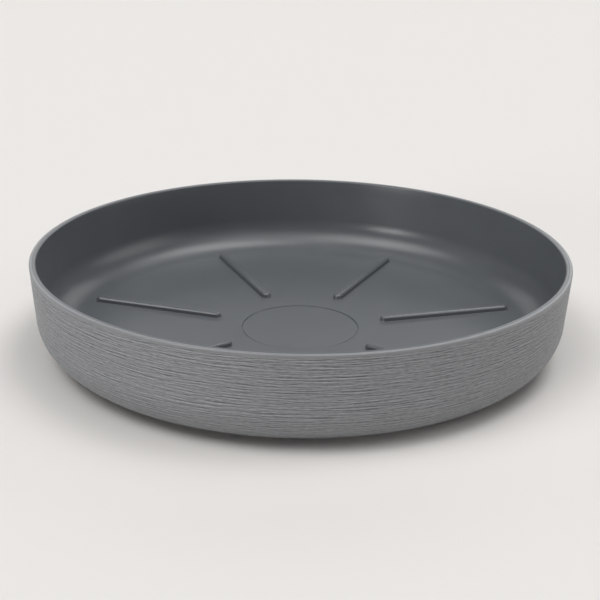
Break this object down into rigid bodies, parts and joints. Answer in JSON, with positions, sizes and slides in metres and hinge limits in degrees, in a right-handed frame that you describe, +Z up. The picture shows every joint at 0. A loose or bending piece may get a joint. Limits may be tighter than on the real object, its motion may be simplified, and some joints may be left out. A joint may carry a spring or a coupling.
{
  "type": "plant saucer",
  "caption": "Shallow round plant saucer: a smooth tray with raised ribs, set into an outer shell with brushed walls, a flat rim and a rounded lower edge, on soft pads.",
  "frame": {"origin": "on the ground, below the middle of the saucer", "axes": "+Z up along the axis of the saucer, -Y towards the camera of the picture"},
  "size_m": [0.3498, 0.3496, 0.0617],
  "materials": {
    "tray_plastic": "smooth satin, slate grey",
    "shell_plastic": "brushed with a fine horizontal grain, mid grey",
    "pad_rubber": "matt black"
  },
  "bodies": {
    "root": {"inner_tray": "tray_plastic", "outer_shell": "shell_plastic", "foot_pad_1": "pad_rubber", "foot_pad_2": "pad_rubber", "foot_pad_3": "pad_rubber", "foot_pad_4": "pad_rubber", "foot_pad_5": "pad_rubber", "foot_pad_6": "pad_rubber", "foot_pad_7": "pad_rubber"}
  },
  "joints": []
}
